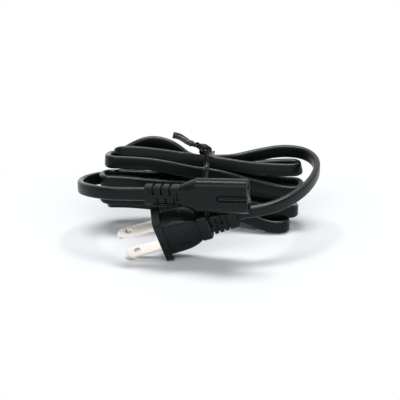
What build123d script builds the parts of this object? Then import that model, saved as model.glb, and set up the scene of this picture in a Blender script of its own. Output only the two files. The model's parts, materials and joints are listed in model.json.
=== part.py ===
"""Power cord: a flat two-core lead with a figure-8 connector and a two-blade plug, wound in a tied hank.

Millimetres, +Z up, the floor at Z = 0. The plug and the connector lie in front of the hank (towards -Y).
"""

import math
import os
from dataclasses import dataclass

from build123d import *

# Where the hank's middle stands, so that the whole part is centred on the origin
hank_x = -0.01
hank_y = 22.06

# Flat cord
cord_width = 6.0
cord_thickness = 2.8
cord_corner = 1.2
leg_spacing = 3.0
leg_diameter = 2.3
strand_diameter = 1.2
arc_share = 0.45
length_tolerance = 0.01

# Plug: placed by the middle of its flange face, its axis runs from the blades to the cord
plug_x = -18.1
plug_y = -41.75
plug_z = 12.37
plug_yaw = 0.5
plug_pitch = 16.5
plug_lean = -19.7
plug_length = 36.0
flange_width = 24.4
flange_depth = 12.6
flange_thickness = 3.6
flange_corner = 2.2
flange_edge = 0.6
plug_body_width = 18.2
plug_body_depth = 10.8
plug_middle_z = 9.0
plug_middle_width = 17.9
plug_middle_depth = 11.0
plug_shoulder_z = 14.0
plug_shoulder_width = 16.3
plug_shoulder_depth = 10.9
plug_neck_z = 18.8
plug_neck_width = 12.3
plug_neck_depth = 9.4
plug_body_corner = 1.3
collar_width = 14.0
collar_depth = 11.0
collar_corner = 2.4
collar_edge = 1.6
collar_end_z = 23.6
plug_relief_width = 11.2
plug_relief_depth = 8.8
plug_tail_width = 10.4
plug_tail_depth = 8.0
plug_relief_corner = 1.6
plug_cut_count = 4
plug_cut_first = 23.75
plug_cut_pitch = 2.42
plug_cut_width = 0.85
plug_cut_depth = 1.35
plug_bridge = 2.0
plug_bridge_x = -0.9
marking_first_z = 6.1
marking_length = 7.4
marking_height = 8.0
marking_depth = 0.2

# Blades and their holder in the moulding
blade_pitch = 12.7
blade_width = 6.35
blade_thickness = 1.5
blade_length = 17.0
blade_tip_radius = 2.7
blade_tip_bevel = 0.4
blade_hole_radius = 1.6
blade_hole_z = -11.7
blade_root_z = 4.8
blade_tail_z = 10.0
blade_tail_width = 4.0
holder_first_z = 1.2
holder_wall = 0.8
holder_width = blade_pitch + blade_thickness + 2 * holder_wall
holder_depth = 7.6
holder_corner = 1.4

# Legs of the cord inside the plug
plug_jacket_z = 22.0
plug_leg_bend_z = 20.5
plug_leg_spread_z = 13.4
plug_leg_end_z = 11.4
plug_leg_bend_radius = 3.0
plug_strand_end_z = 5.4

# Connector: placed by the end of its strain relief, its axis runs from the cord to the mouth
connector_x = -23.5
connector_y = -39.0
connector_z = 31.06
connector_yaw = -13.0
connector_pitch = 4.15
connector_lean = 1.0
connector_length = 46.0
connector_width = 15.6
connector_depth = 8.2
connector_relief_length = 15.6
connector_relief_width = 9.0
connector_relief_depth = 5.4
connector_relief_corner = 1.8
connector_shoulder_z = 23.3
connector_shoulder_corner = 4.05
connector_edge = 0.4
connector_cut_count = 3
connector_cut_first = 4.0
connector_cut_pitch = 3.8
connector_cut_width = 1.15
connector_cut_depth = 1.1
connector_cut_land = 0.7
key_slot_z = 15.0
key_slot_width = 1.1
key_slot_height = 3.8
key_slot_depth = 0.8
pad_first_z = 17.2
pad_height = 7.6
pad_drop = 0.12
panel_length = 8.0
panel_height = 8.6
panel_depth = 0.15
waist_groove_length = 12.0
waist_groove_radius = 1.5
waist_groove_edge = 0.5

# Contacts in the connector
pin_pitch = 8.6
pin_hole_radius = 1.45
contact_recess = 2.5
contact_length = 15.5
contact_crimp_length = 3.0
contact_bore_radius = 1.26
contact_outer_radius = 1.6
contact_bore_length = 10.0
contact_front_z = connector_length - contact_recess
contact_back_z = contact_front_z - contact_length
insert_length = 13.5
insert_first_z = contact_front_z - insert_length
insert_radius = 2.3

# Legs of the cord inside the connector
connector_jacket_z = 12.0
connector_leg_bend_z = 14.0
connector_leg_gap = 1.6
connector_leg_straight = 2.9
connector_leg_bend_radius = 4.0
connector_leg_end_z = contact_back_z - connector_leg_gap
connector_leg_spread_z = connector_leg_end_z - connector_leg_straight
connector_strand_end_z = contact_back_z + contact_crimp_length

# Tie round the hank's waist
tie_x = 2.5
tie_width = 2.7
tie_thickness = 0.7
tie_wire_diameter = 0.4
wire_end_diameter = 0.34
wire_bend_radius = 0.4
tie_corner = 1.2
twist_diameter = 1.9
tail_thickness = 0.7

# Waist of the hank, which the tie draws together
waist_half_length = 4.5
lobe_start = 3.3
stub_length = 9.0
waist_outline = [
    (-4.9, 34.3),
    (-1.7, 34.3),
    (1.5, 31.2),
    (1.5, 0.8),
    (-2.2, 0.8),
    (-8.3, 4.3),
    (-8.3, 29.2),
]

# Twisted ends of the tie: the twist's two ends, the long tail's end and the short tail's end;
# the wire's rise from the band into the twist, and the share of the long tail that it fills
twist_foot = (4.2, -3.3, 35.3)
twist_top = (-4.3, -3.3, 41.0)
long_tail_end = (-11.6, -3.3, 44.3)
short_tail_end = (6.4, -3.9, 35.6)
wire_rise = [
    (2.5, -3.3, 34.65),
    (3.55, -3.3, 34.65),
    (3.55, -3.3, 35.74),
]
wire_share = 0.9

# Route of the lead from the plug to the hank, after its first point at the plug
plug_lead_route = [
    (24.0, -41.0, 23.5),
    (33.5, -38.5, 24.5),
    (43.5, -31.0, 26.4),
    (51.3, -19.5, 28.8),
    (55.6, -6.0, 31.2),
    (50.2, 4.9, 32.6),
    (39.0, 8.3, 32.6),
    (27.5, 6.9, 31.0),
    (16.0, 3.6, 29.4),
]

# Route of the lead from the hank to the connector, before its last point at the connector
connector_lead_route = [
    (-8.0, 1.4, 3.05),
    (-15.0, 2.6, 3.9),
    (-22.0, 3.3, 7.6),
    (-30.0, 3.6, 14.2),
    (-38.5, 2.8, 20.4),
    (-48.0, -1.0, 23.4),
    (-54.2, -9.5, 24.4),
    (-54.8, -20.5, 25.8),
    (-48.8, -30.0, 27.8),
    (-40.5, -35.2, 29.4),
    (-31.5, -37.2, 30.3),
]


@dataclass(frozen=True)
class LoopEnd:
    """One end loop of the hank: where it turns back and where its two strands run."""

    reach: float
    front: float
    back: float
    level: float
    waist_front: float
    waist_back: float
    waist_level: float


left_loops = [
    LoopEnd(-39.3, -4.0, 6.5, 34.6, -3.3, 0.0, 29.8),
    LoopEnd(-43.5, -7.5, 2.0, 30.8, -6.7, -3.3, 25.6),
    LoopEnd(-45.2, -11.5, -2.0, 23.2, -6.9, 0.0, 20.8),
    LoopEnd(-40.0, -10.0, -1.2, 17.5, -6.9, -3.5, 16.2),
    LoopEnd(-44.5, -10.0, -1.5, 13.0, -6.9, -3.5, 10.0),
]
right_loops = [
    LoopEnd(46.6, -4.0, 2.9, 27.7, -3.3, -3.3, 28.5),
    LoopEnd(45.0, -7.5, 1.0, 19.4, -6.7, -0.6, 24.0),
    LoopEnd(47.0, -6.0, 3.0, 14.2, -6.9, -3.5, 19.2),
    LoopEnd(44.8, -9.0, 0.0, 8.7, -6.9, -3.5, 13.0),
    LoopEnd(40.5, -12.5, -4.0, 3.35, -6.9, -0.3, 6.2),
]

os.makedirs("parts", exist_ok=True)


def lying_plane(x, y, z, yaw, pitch, lean):
    """Return a plane whose Z runs along a lying piece and whose X runs up its broad face."""
    turn, rise, tip = math.radians(yaw), math.radians(pitch), math.radians(lean)
    axis = Vector(math.cos(turn) * math.cos(rise), math.sin(turn) * math.cos(rise), math.sin(rise))
    side = Vector(-math.sin(turn), math.cos(turn), 0)
    wide = axis.cross(side) * math.cos(tip) + side * math.sin(tip)
    return Plane(origin=(hank_x + x, hank_y + y, z), x_dir=wide, z_dir=axis)


def in_hank(point):
    """Return a point that is given from the hank's middle, in the part's frame."""
    return Vector(hank_x + point[0], hank_y + point[1], point[2])


def corner_radii(points):
    """Return the arc radius at each corner of a route, as large as its two runs allow."""
    radii = []
    for before, corner, after in zip(points, points[1:], points[2:]):
        run_in, run_out = corner - before, after - corner
        half_turn = math.radians(run_in.get_angle(run_out)) / 2
        radii.append(arc_share * min(run_in.length, run_out.length) / math.tan(half_turn))
    return radii


def route_wire(points, radii, lift):
    """Return a route's runs and arcs as one wire, raised by a lift."""
    with BuildLine() as line:
        FilletPolyline(*[point + Vector(0, 0, lift) for point in points], radius=radii)
    return line.wires()[0]


def upright_plane(start, towards):
    """Return an upright plane across a route's first run, with its X up."""
    level = Vector(towards.X - start.X, towards.Y - start.Y, 0)
    return Plane(origin=start, x_dir=(0, 0, 1), z_dir=level)


def print_route(name, points, radii, wire, swept):
    """Print a lead's length, arc radii and how its volume compares with section times length."""
    corner_loss = (4 - math.pi) * cord_corner**2
    section = cord_width * cord_thickness - corner_loss
    share = swept.volume / (section * wire.length)
    print(name, "length", round(wire.length, 1), "volume share", round(share, 3))
    print(name, "radii", [round(radius, 1) for radius in radii], "points", len(points))


plug_plane = lying_plane(plug_x, plug_y, plug_z, plug_yaw, plug_pitch, plug_lean)
connector_plane = lying_plane(
    connector_x, connector_y, connector_z, connector_yaw, connector_pitch, connector_lean
)
plug_axis = Axis(plug_plane.origin, plug_plane.z_dir)
connector_axis = Axis(connector_plane.origin, connector_plane.z_dir)
sides = {"upper": 1, "lower": -1}

# Blades of the plug: flat, with a detent hole, a narrow tail and a rounded tip that is bevelled all round
blades = {}
for place, side in sides.items():
    blade_side = plug_plane.from_local_coords((side * blade_pitch / 2 - blade_thickness / 2, 0, 0))
    with BuildPart() as blade:
        with BuildSketch(Plane(blade_side, x_dir=plug_plane.z_dir, z_dir=plug_plane.x_dir)) as outline:
            with Locations((blade_root_z, 0)):
                Rectangle(blade_length + blade_root_z, blade_width, align=(Align.MAX, Align.CENTER))
            fillet(outline.vertices().group_by(Axis.X)[0], blade_tip_radius)
            with Locations((blade_tail_z, 0)):
                Rectangle(blade_tail_z, blade_tail_width, align=(Align.MAX, Align.CENTER))
            with Locations((blade_hole_z, 0)):
                Circle(blade_hole_radius, mode=Mode.SUBTRACT)
        extrude(amount=blade_thickness)
        round_edges = blade.edges().filter_by(
            lambda edge: plug_plane.to_local_coords(edge.center()).Z < blade_tip_radius - blade_length
        )
        bevel_edges = round_edges.filter_by(
            lambda edge: abs(edge.length - blade_thickness) > length_tolerance
        )
        chamfer(bevel_edges, blade_tip_bevel)
    blade.part.label = f"plug_blade_{place}"
    export_step(blade.part, f"parts/plug_blade_{place}.step")
    blades[place] = blade

# Holder that keeps the blades apart inside the moulding
with BuildPart() as plug_holder:
    with BuildSketch(plug_plane.offset(holder_first_z)):
        RectangleRounded(holder_width, holder_depth, holder_corner)
    extrude(amount=blade_root_z - holder_first_z)
    for blade in blades.values():
        add(blade.part, mode=Mode.SUBTRACT)
plug_holder.part.label = "plug_blade_holder"
export_step(plug_holder.part, "parts/plug_blade_holder.step")

# Insulated legs of the cord and their bared strands inside the plug
plug_inner = [plug_holder, *blades.values()]
strand_x = blade_pitch / 2 - blade_thickness / 2 - strand_diameter / 2
for place, side in sides.items():
    leg_points = [
        (side * leg_spacing / 2, 0, plug_jacket_z),
        (side * leg_spacing / 2, 0, plug_leg_bend_z),
        (side * strand_x, 0, plug_leg_spread_z),
        (side * strand_x, 0, plug_leg_end_z),
    ]
    with BuildPart() as leg:
        with BuildLine(plug_plane) as leg_line:
            FilletPolyline(*leg_points, radius=plug_leg_bend_radius)
        with BuildSketch(Plane(origin=leg_line.line @ 0, z_dir=leg_line.line % 0)):
            Circle(leg_diameter / 2)
        sweep(path=leg_line.wires()[0])
    leg.part.label = f"plug_core_{place}"
    export_step(leg.part, f"parts/plug_core_{place}.step")
    with BuildPart() as strand:
        with BuildSketch(plug_plane.offset(plug_strand_end_z)):
            with Locations((side * strand_x, 0)):
                Circle(strand_diameter / 2)
        extrude(amount=plug_leg_end_z - plug_strand_end_z)
    strand.part.label = f"plug_strand_{place}"
    export_step(strand.part, f"parts/plug_strand_{place}.step")
    plug_inner += [leg, strand]

# Lead from the plug round the wide right-hand loop to the hank
plug_exit = plug_plane.from_local_coords((0, 0, plug_length + cord_corner))
plug_lead_points = [plug_exit, *[in_hank(point) for point in plug_lead_route]]
plug_lead_radii = corner_radii(plug_lead_points)
plug_lead_wire = route_wire(plug_lead_points, plug_lead_radii, 0)
with BuildPart() as plug_lead:
    with BuildSketch(upright_plane(plug_lead_points[0], plug_lead_points[1])):
        RectangleRounded(cord_width, cord_thickness, cord_corner)
    sweep(path=plug_lead_wire, binormal=route_wire(plug_lead_points, plug_lead_radii, cord_width))
    print_route("plug lead", plug_lead_points, plug_lead_radii, plug_lead_wire, plug_lead.part)
    with BuildSketch(plug_plane.offset(plug_jacket_z)):
        RectangleRounded(cord_width, cord_thickness, cord_corner)
    extrude(amount=plug_length - plug_jacket_z + 2 * cord_corner)
plug_lead.part.label = "cord_plug_lead"
export_step(plug_lead.part, "parts/cord_plug_lead.step")
plug_inner.append(plug_lead)

# Plug moulding: flange, tapering body, collar and ribbed strain relief in one piece
plug_sections = [
    (flange_thickness, plug_body_width, plug_body_depth),
    (plug_middle_z, plug_middle_width, plug_middle_depth),
    (plug_shoulder_z, plug_shoulder_width, plug_shoulder_depth),
    (plug_neck_z, plug_neck_width, plug_neck_depth),
]
with BuildPart() as plug_body:
    for section_z, width, depth in plug_sections:
        with BuildSketch(plug_plane.offset(section_z)):
            RectangleRounded(width, depth, plug_body_corner)
    loft()
    with BuildSketch(plug_plane.offset(plug_neck_z)):
        RectangleRounded(collar_width, collar_depth, collar_corner)
    extrude(amount=collar_end_z - plug_neck_z)
    fillet(plug_body.faces().sort_by(plug_axis)[-1].edges(), collar_edge)
    with BuildSketch(plug_plane.offset(collar_end_z)):
        RectangleRounded(plug_relief_width, plug_relief_depth, plug_relief_corner)
    with BuildSketch(plug_plane.offset(plug_length)):
        RectangleRounded(plug_tail_width, plug_tail_depth, plug_relief_corner)
    loft()
    with BuildSketch(plug_plane):
        RectangleRounded(flange_width, flange_depth, flange_corner)
    extrude(amount=flange_thickness)
    fillet(plug_body.faces().sort_by(plug_axis)[0].edges(), flange_edge)
    for cut in range(plug_cut_count):
        bridge_x = plug_bridge_x if cut % 2 == 0 else plug_relief_width / 2
        with BuildSketch(plug_plane.offset(plug_cut_first + cut * plug_cut_pitch)):
            Rectangle(2 * plug_relief_width, 2 * plug_relief_depth)
            Rectangle(
                plug_relief_width - 2 * plug_cut_depth,
                plug_relief_depth - 2 * plug_cut_depth,
                mode=Mode.SUBTRACT,
            )
            with Locations((bridge_x, 0)):
                Rectangle(plug_bridge, 2 * plug_relief_depth, mode=Mode.SUBTRACT)
        extrude(amount=plug_cut_width, mode=Mode.SUBTRACT)
    marking_z = marking_first_z + marking_length / 2
    marking_y = plug_middle_depth / 2 - marking_depth
    marking_origin = plug_plane.from_local_coords((0, marking_y, marking_z))
    with BuildSketch(Plane(origin=marking_origin, x_dir=plug_plane.x_dir, z_dir=plug_plane.y_dir)):
        Rectangle(marking_height, marking_length)
    extrude(amount=plug_body_depth, mode=Mode.SUBTRACT)
    for inner in plug_inner:
        add(inner.part, mode=Mode.SUBTRACT)
plug_body.part.label = "plug_body"
export_step(plug_body.part, "parts/plug_body.step")

# Contacts of the connector: a sprung sleeve with a crimp barrel at its back
contacts = {}
for place, side in sides.items():
    contact_x = side * pin_pitch / 2
    with BuildPart() as contact:
        with BuildSketch(connector_plane.offset(contact_back_z)):
            with Locations((contact_x, 0)):
                Circle(contact_outer_radius)
        extrude(amount=contact_front_z - contact_back_z)
        with BuildSketch(connector_plane.offset(contact_front_z)):
            with Locations((contact_x, 0)):
                Circle(contact_bore_radius)
        extrude(amount=-contact_bore_length, mode=Mode.SUBTRACT)
        with BuildSketch(connector_plane.offset(contact_back_z)):
            with Locations((contact_x, 0)):
                Circle(strand_diameter / 2)
        extrude(amount=connector_strand_end_z - contact_back_z, mode=Mode.SUBTRACT)
    contact.part.label = f"contact_{place}"
    export_step(contact.part, f"parts/contact_{place}.step")
    contacts[place] = contact

# Insert that holds the two contacts inside the moulding
with BuildPart() as connector_insert:
    with BuildSketch(connector_plane.offset(insert_first_z)):
        SlotCenterToCenter(pin_pitch, 2 * insert_radius)
    extrude(amount=contact_front_z - insert_first_z)
    for place, side in sides.items():
        with BuildSketch(connector_plane.offset(insert_first_z)):
            with Locations((side * pin_pitch / 2, 0)):
                Circle(contact_outer_radius)
        extrude(amount=contact_front_z - insert_first_z, mode=Mode.SUBTRACT)
connector_insert.part.label = "connector_insert"
export_step(connector_insert.part, "parts/connector_insert.step")

# Insulated legs of the cord and their bared strands inside the connector
connector_inner = [connector_insert, *contacts.values()]
for place, side in sides.items():
    leg_points = [
        (side * leg_spacing / 2, 0, connector_jacket_z),
        (side * leg_spacing / 2, 0, connector_leg_bend_z),
        (side * pin_pitch / 2, 0, connector_leg_spread_z),
        (side * pin_pitch / 2, 0, connector_leg_end_z),
    ]
    with BuildPart() as leg:
        with BuildLine(connector_plane) as leg_line:
            FilletPolyline(*leg_points, radius=connector_leg_bend_radius)
        with BuildSketch(Plane(origin=leg_line.line @ 0, z_dir=leg_line.line % 0)):
            Circle(leg_diameter / 2)
        sweep(path=leg_line.wires()[0])
    leg.part.label = f"connector_core_{place}"
    export_step(leg.part, f"parts/connector_core_{place}.step")
    with BuildPart() as strand:
        with BuildSketch(connector_plane.offset(connector_leg_end_z)):
            with Locations((side * pin_pitch / 2, 0)):
                Circle(strand_diameter / 2)
        extrude(amount=connector_strand_end_z - connector_leg_end_z)
    strand.part.label = f"connector_strand_{place}"
    export_step(strand.part, f"parts/connector_strand_{place}.step")
    connector_inner += [leg, strand]

# Lead from the hank round the left-hand loop to the connector
connector_exit = connector_plane.from_local_coords((0, 0, -cord_corner))
connector_lead_points = [*[in_hank(point) for point in connector_lead_route], connector_exit]
connector_lead_radii = corner_radii(connector_lead_points)
connector_lead_wire = route_wire(connector_lead_points, connector_lead_radii, 0)
with BuildPart() as connector_lead:
    with BuildSketch(upright_plane(connector_lead_points[0], connector_lead_points[1])):
        RectangleRounded(cord_width, cord_thickness, cord_corner)
    sweep(
        path=connector_lead_wire,
        binormal=route_wire(connector_lead_points, connector_lead_radii, cord_width),
    )
    print_route(
        "connector lead",
        connector_lead_points,
        connector_lead_radii,
        connector_lead_wire,
        connector_lead.part,
    )
    with BuildSketch(connector_plane.offset(-2 * cord_corner)):
        RectangleRounded(cord_width, cord_thickness, cord_corner)
    extrude(amount=connector_jacket_z + 2 * cord_corner)
connector_lead.part.label = "cord_connector_lead"
export_step(connector_lead.part, "parts/cord_connector_lead.step")
connector_inner.append(connector_lead)

# Connector moulding: slotted strain relief, shoulder and figure-8 body in one piece
with BuildPart() as connector_body:
    with BuildSketch(connector_plane.offset(connector_relief_length)):
        RectangleRounded(connector_relief_width, connector_relief_depth, connector_relief_corner)
    with BuildSketch(connector_plane.offset(connector_shoulder_z)):
        RectangleRounded(connector_width, connector_depth, connector_shoulder_corner)
    loft()
    groove_z = connector_length - waist_groove_length
    groove_places = [(0, connector_depth / 2), (0, -connector_depth / 2)]
    with BuildSketch(connector_plane.offset(connector_shoulder_z)):
        SlotOverall(connector_width, connector_depth)
    extrude(amount=groove_z - connector_shoulder_z)
    with BuildSketch(connector_plane.offset(groove_z)) as mouth:
        SlotOverall(connector_width, connector_depth)
        with Locations(*groove_places):
            Circle(waist_groove_radius, mode=Mode.SUBTRACT)
        lips = mouth.vertices().filter_by(lambda corner: abs(corner.X) < 2 * waist_groove_radius)
        fillet(lips, waist_groove_edge)
    extrude(amount=waist_groove_length)
    fillet(connector_body.faces().sort_by(connector_axis)[-1].edges(), connector_edge)
    for groove_place in groove_places:
        with Locations(Plane(connector_plane.from_local_coords((*groove_place, groove_z)))):
            Sphere(waist_groove_radius, mode=Mode.SUBTRACT)
    with BuildSketch(connector_plane):
        RectangleRounded(connector_relief_width, connector_relief_depth, connector_relief_corner)
    extrude(amount=connector_relief_length)
    fillet(connector_body.faces().sort_by(connector_axis)[0].edges(), connector_edge)
    for cut in range(2 * connector_cut_count):
        open_side = 1 if cut % 2 == 0 else -1
        cut_z = connector_cut_first + cut * connector_cut_pitch / 2 - connector_cut_width / 2
        with BuildSketch(connector_plane.offset(cut_z)):
            with Locations((open_side * (connector_relief_width / 2 + connector_cut_land), 0)):
                Rectangle(connector_relief_width, 2 * connector_relief_depth)
            Rectangle(
                connector_relief_width - 2 * connector_cut_depth,
                connector_relief_depth - 2 * connector_cut_depth,
                mode=Mode.SUBTRACT,
            )
        extrude(amount=connector_cut_width, mode=Mode.SUBTRACT)
    key_y = connector_relief_depth / 2 - key_slot_depth
    key_origin = connector_plane.from_local_coords((0, key_y, key_slot_z))
    with BuildSketch(Plane(origin=key_origin, x_dir=connector_plane.x_dir, z_dir=connector_plane.y_dir)):
        Rectangle(key_slot_height, key_slot_width)
    extrude(amount=connector_depth, mode=Mode.SUBTRACT)
    pad_top = connector_depth / 2 - pad_drop
    with BuildSketch(connector_plane.offset(pad_first_z)):
        with Locations((0, pad_top / 2)):
            Rectangle(pad_height, pad_top)
    extrude(amount=connector_shoulder_z - pad_first_z)
    panel_z = connector_shoulder_z + panel_length / 2
    panel_origin = connector_plane.from_local_coords((0, connector_depth / 2 - panel_depth, panel_z))
    with BuildSketch(Plane(origin=panel_origin, x_dir=connector_plane.x_dir, z_dir=connector_plane.y_dir)):
        Rectangle(panel_height, panel_length)
    extrude(amount=connector_depth, mode=Mode.SUBTRACT)
    for place, side in sides.items():
        with BuildSketch(connector_plane.offset(contact_front_z)):
            with Locations((side * pin_pitch / 2, 0)):
                Circle(pin_hole_radius)
        extrude(amount=connector_length, mode=Mode.SUBTRACT)
        with BuildSketch(connector_plane.offset(contact_back_z)):
            with Locations((side * pin_pitch / 2, 0)):
                Circle(contact_outer_radius)
        extrude(amount=contact_front_z - contact_back_z, mode=Mode.SUBTRACT)
    for inner in connector_inner:
        add(inner.part, mode=Mode.SUBTRACT)
connector_body.part.label = "connector_body"
export_step(connector_body.part, "parts/connector_body.step")


def lobe_sketch_plane(loop, side):
    """Return the plane of one end loop, with its X from the waist to the loop's end."""
    waist = in_hank((tie_x + side * lobe_start, 0, loop.waist_level))
    tip = in_hank((loop.reach, 0, loop.level))
    along = (tip - waist).normalized()
    return Plane(origin=waist, x_dir=along, z_dir=along.cross(Vector(0, 1, 0)))


# Hank: one solid of the outer shape of its turns, drawn together at the waist
plug_lead_end = plug_lead.faces().sort_by_distance(plug_lead_points[-1])[0]
connector_lead_end = connector_lead.faces().sort_by_distance(connector_lead_points[0])[0]
with BuildPart() as hank:
    with BuildSketch(Plane.YZ.offset(hank_x + tie_x - waist_half_length)):
        with BuildLine():
            FilletPolyline(*[(hank_y + y, z) for y, z in waist_outline], radius=tie_corner, close=True)
        make_face()
    extrude(amount=2 * waist_half_length)
    for side, loops in ((-1, left_loops), (1, right_loops)):
        for loop in loops:
            plane = lobe_sketch_plane(loop, side)
            turn_radius = (loop.back - loop.front) / 2
            length = math.dist((loop.reach, loop.level), (tie_x + side * lobe_start, loop.waist_level))
            with BuildSketch(plane) as lobe:
                with Locations((length - turn_radius, (loop.front + loop.back) / 2)):
                    Circle(turn_radius + cord_thickness / 2)
                with Locations((0, loop.waist_front), (0, loop.waist_back)):
                    Circle(cord_thickness / 2)
                make_hull(lobe.edges())
            extrude(amount=cord_width / 2, both=True)
    extrude(plug_lead_end, amount=stub_length)
    extrude(connector_lead_end, amount=stub_length)
hank.part.label = "cord_hank"
export_step(hank.part, "parts/cord_hank.step")


def tie_loop(growth):
    """Return the waist's outline as a closed wire at the tie, grown outwards."""
    with BuildSketch(Plane.YZ.offset(hank_x + tie_x)) as loop:
        with BuildLine():
            FilletPolyline(*[(hank_y + y, z) for y, z in waist_outline], radius=tie_corner, close=True)
        make_face()
        if growth > 0:
            offset(amount=growth, kind=Kind.ARC)
    return loop.sketch.faces()[0]


def bar_plane(start, end):
    """Return a plane at the start of a straight bar, with its Z along the bar."""
    return Plane(origin=start, x_dir=(0, 1, 0), z_dir=end - start)


# Wire inside the tie: a loop round the waist, up into the twist and out along the long tail
wire_face = tie_loop(tie_thickness / 2)
twist_start, twist_end = in_hank(twist_foot), in_hank(twist_top)
long_end, short_end = in_hank(long_tail_end), in_hank(short_tail_end)
wire_end = twist_end + (long_end - twist_end) * wire_share
wire_points = [*[in_hank(point) for point in wire_rise], twist_end, wire_end]
with BuildPart() as tie_wire:
    loop_start = wire_face.outer_wire() @ 0
    loop_along = wire_face.outer_wire() % 0
    with BuildSketch(Plane(origin=loop_start, z_dir=loop_along)):
        Circle(tie_wire_diameter / 2)
    sweep(path=wire_face.outer_wire())
    with BuildLine() as rise_line:
        FilletPolyline(*wire_points, radius=wire_bend_radius)
    with BuildSketch(bar_plane(wire_points[0], wire_points[1])):
        Circle(wire_end_diameter / 2)
    sweep(path=rise_line.wires()[0])
tie_wire.part.label = "tie_wire"
export_step(tie_wire.part, "parts/tie_wire.step")

# Ribbon of the tie: a band round the waist, the twist and two flat tails
with BuildPart() as tie_ribbon:
    extrude(tie_loop(tie_thickness), amount=tie_width / 2, both=True)
    extrude(tie_loop(0), amount=tie_width, both=True, mode=Mode.SUBTRACT)
    with BuildSketch(bar_plane(twist_start, twist_end)):
        Circle(twist_diameter / 2)
    extrude(amount=(twist_end - twist_start).length)
    with BuildSketch(bar_plane(twist_end, long_end)):
        Rectangle(tie_width, tail_thickness)
    extrude(amount=(long_end - twist_end).length)
    with BuildSketch(bar_plane(twist_start, short_end)):
        Rectangle(tie_width, tail_thickness)
    extrude(amount=(short_end - twist_start).length)
    add(tie_wire.part, mode=Mode.SUBTRACT)
tie_ribbon.part.label = "tie_ribbon"
export_step(tie_ribbon.part, "parts/tie_ribbon.step")
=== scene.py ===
"""Dress a packed power cord: flat cord in a tied hank, moulded ends, twist tie and studio."""

import json
import logging
import math
from collections.abc import Mapping, Sequence
from dataclasses import dataclass
from enum import Enum
from typing import Any

import bpy
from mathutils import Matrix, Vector


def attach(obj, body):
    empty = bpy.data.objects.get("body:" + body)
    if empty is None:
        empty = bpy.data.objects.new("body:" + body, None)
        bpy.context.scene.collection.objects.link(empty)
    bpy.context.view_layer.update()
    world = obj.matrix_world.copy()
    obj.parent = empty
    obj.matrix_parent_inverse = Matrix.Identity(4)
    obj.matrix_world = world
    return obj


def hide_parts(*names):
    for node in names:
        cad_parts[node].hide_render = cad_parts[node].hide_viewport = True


MM = 0.001
BODY = "root"
CORD_UV = "along"
TIE_FACING = "facing"
UP = Vector((0.0, 0.0, 1.0)).freeze()
WHITE = (1.0, 1.0, 1.0, 1.0)

Pair = tuple[float, float]
Triple = tuple[float, float, float]
Station = tuple[Triple, Triple]
Feed = float | str | Triple | bpy.types.NodeSocket

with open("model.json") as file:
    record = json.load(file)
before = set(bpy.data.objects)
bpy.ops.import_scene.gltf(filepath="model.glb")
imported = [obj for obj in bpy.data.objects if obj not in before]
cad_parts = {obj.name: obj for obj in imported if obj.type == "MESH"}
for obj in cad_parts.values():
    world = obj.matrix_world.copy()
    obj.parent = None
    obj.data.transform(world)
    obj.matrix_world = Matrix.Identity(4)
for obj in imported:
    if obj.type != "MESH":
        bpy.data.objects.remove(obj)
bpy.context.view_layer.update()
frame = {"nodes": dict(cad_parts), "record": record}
log = logging.getLogger("power_cord")


class Slot(Enum):
    """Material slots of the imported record."""

    CORD = "cord"
    MOULDING = "moulding"
    BLADE = "blade_metal"
    HOLDER = "holder"
    INSULATION = "core_insulation"
    COPPER = "copper"
    CONTACT = "contact_metal"
    TIE = "tie_plastic"
    TIE_WIRE = "tie_steel"


class Side(Enum):
    """Ends of the hank, by the sign of X."""

    LEFT = -1
    RIGHT = 1


def metres(point: Sequence[float]) -> Vector:
    """Return a point given in millimetres as a vector in metres."""
    return Vector([value * MM for value in point])


def new_material(name: str) -> bpy.types.Material:
    """Make a material with its shader in place.

    Args:
        name: Material name.

    Returns:
        The new material.
    """
    material = bpy.data.materials.new(name)
    material.use_nodes = True
    return material


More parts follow.
